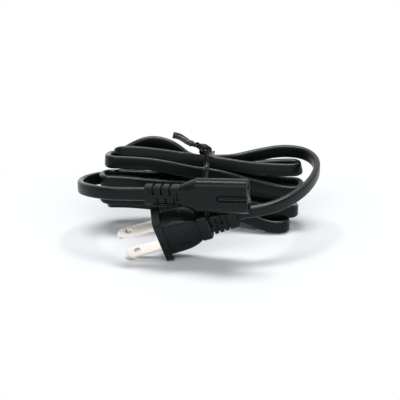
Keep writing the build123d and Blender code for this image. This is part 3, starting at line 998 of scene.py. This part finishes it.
    def build(self) -> bpy.types.Object:
        """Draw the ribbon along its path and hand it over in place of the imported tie.

        Returns:
            The tie's object.
        """
        material = self.finish.material()
        carrier = bpy.data.objects.new("tie_path", self.path())
        bpy.context.collection.objects.link(carrier)
        tree = self.tree()
        drawing = carrier.modifiers.new("ribbon", "NODES")
        drawing.node_group = tree
        values = {
            "Width": self.width * MM,
            "Thickness": self.thickness * MM,
            "Ridge": self.ridge * MM,
            "Step": self.step * MM,
            "Material": material,
        }
        for item in tree.interface.items_tree:
            if item.in_out == "INPUT" and item.name in values:
                drawing[item.identifier] = values[item.name]
        mesh = plain_mesh(carrier)
        carrier.modifiers.remove(drawing)
        bpy.data.objects.remove(carrier)
        piece = new_piece("twist_tie", mesh, material)
        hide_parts("tie_ribbon", "tie_wire")
        return piece


@dataclass(frozen=True)
class NodeDress:
    """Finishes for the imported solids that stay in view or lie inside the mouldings.

    Attributes:
        finishes: Finish of each slot.
    """

    finishes: dict[Slot, Finish]

    def apply(self, record: Mapping[str, Any]) -> list[str]:
        """Give each node the finish of its slot.

        Args:
            record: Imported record, whose subparts name each node's slot.

        Returns:
            Names of the dressed nodes.
        """
        made = {slot: finish.material() for slot, finish in self.finishes.items()}
        dressed = []
        for subpart in record["subparts"]:
            node = frame["nodes"].get(subpart["node"])
            slot = Slot(subpart["material_slot"])
            if node is None or slot not in made:
                continue
            node.data.materials.clear()
            node.data.materials.append(made[slot])
            dressed.append(node.name)
        return dressed


@dataclass(frozen=True)
class Lamp:
    """Soft rectangular lamp.

    Attributes:
        name: Lamp name.
        place: Its middle, in metres.
        size: Width and height in metres.
        power: Power in watts.
    """

    name: str
    place: Triple
    size: Pair
    power: float

    def hang(self, target: Vector) -> None:
        """Hang the lamp so that it faces a point.

        Args:
            target: Point in metres.
        """
        data = bpy.data.lights.new(self.name, "AREA")
        data.shape = "RECTANGLE"
        data.size, data.size_y = self.size
        data.energy = self.power
        lamp = bpy.data.objects.new(self.name, data)
        lamp.location = self.place
        facing = target - Vector(self.place)
        lamp.rotation_euler = facing.to_track_quat("-Z", "Y").to_euler()
        bpy.context.collection.objects.link(lamp)


@dataclass(frozen=True)
class Studio:
    """Plain pale floor, soft light and the camera.

    Attributes:
        target: Point that the camera and the lamps face, in millimetres.
        elevation: Camera's height over the floor, in degrees.
        distance: Camera's distance from the target, in millimetres.
        nearest: Distance at which the camera begins to see, in metres.
        focal_pixels: Focal length in pixels of the picture.
        picture_pixels: Width of the picture.
        sensor: Width of the camera's sensor, in millimetres.
        floor_size: Side of the floor in metres.
        floor_colour: Colour of the floor, linear.
        floor_roughness: Roughness of the floor.
        floor_specular: Specular level of the floor.
        sweep: Distances from the middle, in metres, between which the floor turns white.
        lamps: Lamps, from the strongest to the weakest.
        ambient: Strength of the soft light from all round.
        front_level: Brightness of the surroundings behind the camera, as reflections show it.
        front_span: Y of a direction where that turns into the white backdrop.
    """

    target: Triple = (0.22, 2.06, 19.65)
    elevation: float = 24.0
    distance: float = 650.0
    nearest: float = 0.01
    focal_pixels: float = 1430.0
    picture_pixels: float = 400.0
    sensor: float = 36.0
    floor_size: float = 6.0
    floor_colour: Triple = (0.91, 0.935, 0.965)
    floor_roughness: float = 0.6
    floor_specular: float = 0.2
    sweep: Pair = (0.07, 0.13)
    lamps: tuple[Lamp, ...] = (
        Lamp("key", (0.0, 0.16, 0.88), (0.6, 0.24), 5.8),
        Lamp("front", (0.0, -0.62, 0.72), (1.2, 0.5), 4.3),
        Lamp("fill", (0.0, -1.2, 0.32), (1.6, 0.3), 1.4),
    )
    ambient: float = 0.14
    front_level: float = 0.3
    front_span: Pair = (-0.35, 0.25)

    def ray_kinds(self, wiring: Wiring) -> tuple[bpy.types.NodeSocket, bpy.types.NodeSocket]:
        """Tell the camera's own rays from those that a reflection or a clear piece sends on.

        Args:
            wiring: Tree that is being built.

        Returns:
            The sockets that give 1 for a camera ray and 1 for a ray that is sent on.
        """
        rays = wiring.add("ShaderNodeLightPath").outputs
        sent_on = wiring.math("MAXIMUM", rays["Is Glossy Ray"], rays["Is Transmission Ray"])
        return rays["Is Camera Ray"], sent_on

    def floor_material(self) -> bpy.types.Material:
        """Build the floor's material, which runs out into white for the eye and in reflections.

        Returns:
            The finished material.
        """
        material = new_material("pale_floor")
        nodes = material.node_tree.nodes
        wiring = Wiring(material.node_tree)
        shader = nodes["Principled BSDF"]
        shader.inputs["Base Color"].default_value = (*self.floor_colour, 1.0)
        shader.inputs["Roughness"].default_value = self.floor_roughness
        shader.inputs["Specular IOR Level"].default_value = self.floor_specular
        place = wiring.add("ShaderNodeTexCoord").outputs["Object"]
        reach = wiring.add("ShaderNodeVectorMath", {0: place}, operation="LENGTH")
        far = wiring.remap(reach.outputs["Value"], self.sweep, ease="SMOOTHSTEP")
        seen = wiring.math("MAXIMUM", *self.ray_kinds(wiring))
        white = wiring.math("MULTIPLY", far, seen)
        glow = wiring.add("ShaderNodeEmission").outputs["Emission"]
        sweep = wiring.add(
            "ShaderNodeMixShader", {"Fac": white, 1: shader.outputs["BSDF"], 2: glow}
        )
        surface = nodes["Material Output"].inputs["Surface"]
        material.node_tree.links.new(sweep.outputs["Shader"], surface)
        return material

    def build_floor(self) -> None:
        """Lay the floor, which takes the part's shadow."""
        half = self.floor_size / 2
        mesh = bpy.data.meshes.new("floor")
        corners = [(-half, -half, 0), (half, -half, 0), (half, half, 0), (-half, half, 0)]
        mesh.from_pydata(corners, [], [(0, 1, 2, 3)])
        mesh.materials.append(self.floor_material())
        floor = bpy.data.objects.new("floor", mesh)
        bpy.context.collection.objects.link(floor)

    def build_world(self) -> None:
        """Fill the surroundings: white for the camera, a backdrop in reflections, soft light."""
        world = bpy.data.worlds.new("studio")
        bpy.context.scene.world = world
        world.use_nodes = True
        wiring = Wiring(world.node_tree)
        camera_ray, sent_on = self.ray_kinds(wiring)
        way = wiring.add("ShaderNodeTexCoord").outputs["Object"]
        split = wiring.add("ShaderNodeSeparateXYZ", {"Vector": way})
        levels = (self.front_level, 1.0)
        behind = wiring.remap(split.outputs["Y"], self.front_span, levels, "SMOOTHSTEP")
        backdrop = wiring.math("MULTIPLY", sent_on, behind)
        seen = wiring.math("MAXIMUM", camera_ray, backdrop)
        background = world.node_tree.nodes["Background"].inputs
        background["Color"].default_value = WHITE
        strength = wiring.remap(seen, wanted=(self.ambient, 1.0))
        world.node_tree.links.new(strength, background["Strength"])

    def build_camera(self) -> None:
        """Set the camera at the photograph's angle."""
        data = bpy.data.cameras.new("camera")
        data.sensor_width = self.sensor
        data.lens = self.focal_pixels / self.picture_pixels * self.sensor
        data.clip_start = self.nearest
        camera = bpy.data.objects.new("camera", data)
        rise = math.radians(self.elevation)
        forward = Vector((0, math.cos(rise), -math.sin(rise)))
        camera.location = metres(self.target) - forward * self.distance * MM
        camera.rotation_euler = forward.to_track_quat("-Z", "Y").to_euler()
        bpy.context.collection.objects.link(camera)
        bpy.context.scene.camera = camera

    def build(self) -> None:
        """Build floor, lamps, surroundings and camera."""
        bpy.context.scene.view_settings.view_transform = "Standard"
        self.build_floor()
        for lamp in self.lamps:
            lamp.hang(metres(self.target))
        self.build_world()
        self.build_camera()


FINISHES = {
    Slot.MOULDING: Finish(
        "moulded_pvc",
        (0.0014, 0.0036, 0.0035),
        roughness=0.26,
        grain_scale=1700.0,
        grain_strength=0.3,
        fleck=0.6,
        specular=0.19,
    ),
    Slot.BLADE: Finish(
        "nickel_plate", (0.9, 0.85, 0.79), roughness=0.24, metallic=1.0, grain_strength=0.04
    ),
    Slot.HOLDER: Finish("inner_moulding", (0.1, 0.1, 0.1), roughness=0.5),
    Slot.INSULATION: Finish("core_insulation", (0.02, 0.02, 0.02), roughness=0.4),
    Slot.COPPER: Finish("copper_strand", (0.72, 0.36, 0.22), roughness=0.3, metallic=1.0),
    Slot.CONTACT: Finish("contact_brass", (0.76, 0.58, 0.26), roughness=0.3, metallic=1.0),
}
CORD_FINISH = CordFinish(
    "cord_pvc",
    (0.0032, 0.0057, 0.0056),
    roughness=0.28,
    specular=0.17,
    polish=0.6,
    polish_roughness=0.2,
)
TIE_FINISH = Finish(
    "tie_plastic",
    (0.005, 0.0065, 0.007),
    roughness=0.26,
    grain_scale=900.0,
    grain_strength=0.3,
    specular=0.4,
)


def main() -> None:
    """Build every piece in order and report it."""
    logging.basicConfig(level=logging.INFO, format="%(name)s: %(message)s")
    Studio().build()
    nodes = frame["nodes"]
    on_plug = [nodes[name] for name in sorted(nodes) if name.startswith("plug_")]
    route = CordRoute()
    cord = FlatCord(CORD_FINISH).build(route, on_plug)
    log.info("cord %s with %d faces", cord.name, len(cord.data.polygons))
    tie = TwistTie(TIE_FINISH, route.middle).build()
    log.info("tie %s with %d faces", tie.name, len(tie.data.polygons))
    for name in NodeDress(FINISHES).apply(frame["record"]):
        log.info("dressed %s", name)


if __name__ == "__main__":
    main()
